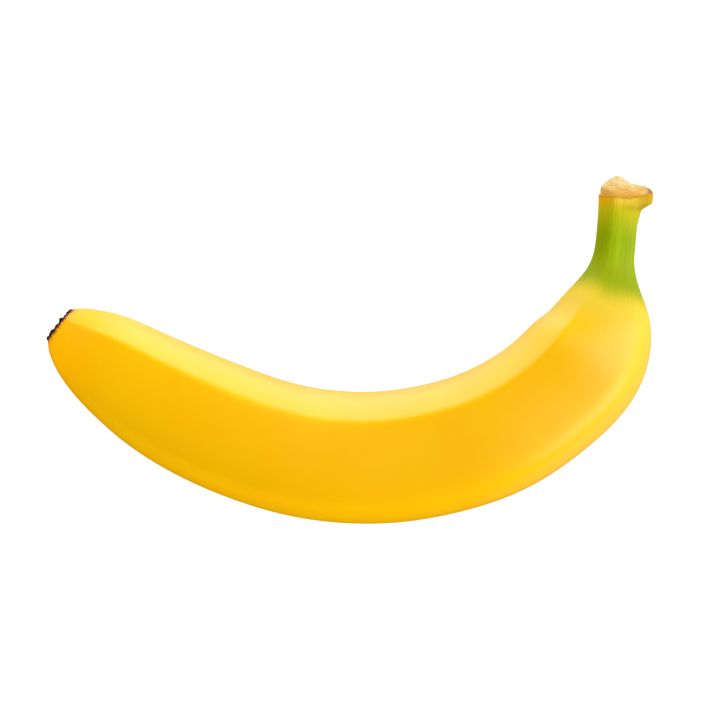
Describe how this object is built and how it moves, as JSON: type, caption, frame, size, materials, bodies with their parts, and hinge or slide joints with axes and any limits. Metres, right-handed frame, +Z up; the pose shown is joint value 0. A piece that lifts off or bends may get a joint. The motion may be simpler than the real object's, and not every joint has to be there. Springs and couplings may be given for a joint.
{
  "type": "banana",
  "caption": "Ripe yellow banana lying on its side: ribbed curved peel, short green stem with a torn tan crown end, and a dark dried blossom tip.",
  "frame": {"origin": "on the table, under the middle of the fruit's bounding box, with the fruit lying on its side", "axes": "+X runs from the blossom tip towards the stem side, +Y is the hollow side of the bend, towards the stem's cut end, and +Z is up from the table"},
  "size_m": [0.1622, 0.0932, 0.0351],
  "materials": {
    "peel": "satin",
    "torn_crown": "matte",
    "blossom_scar": "matte"
  },
  "bodies": {
    "root": {"banana": "peel"}
  },
  "joints": []
}
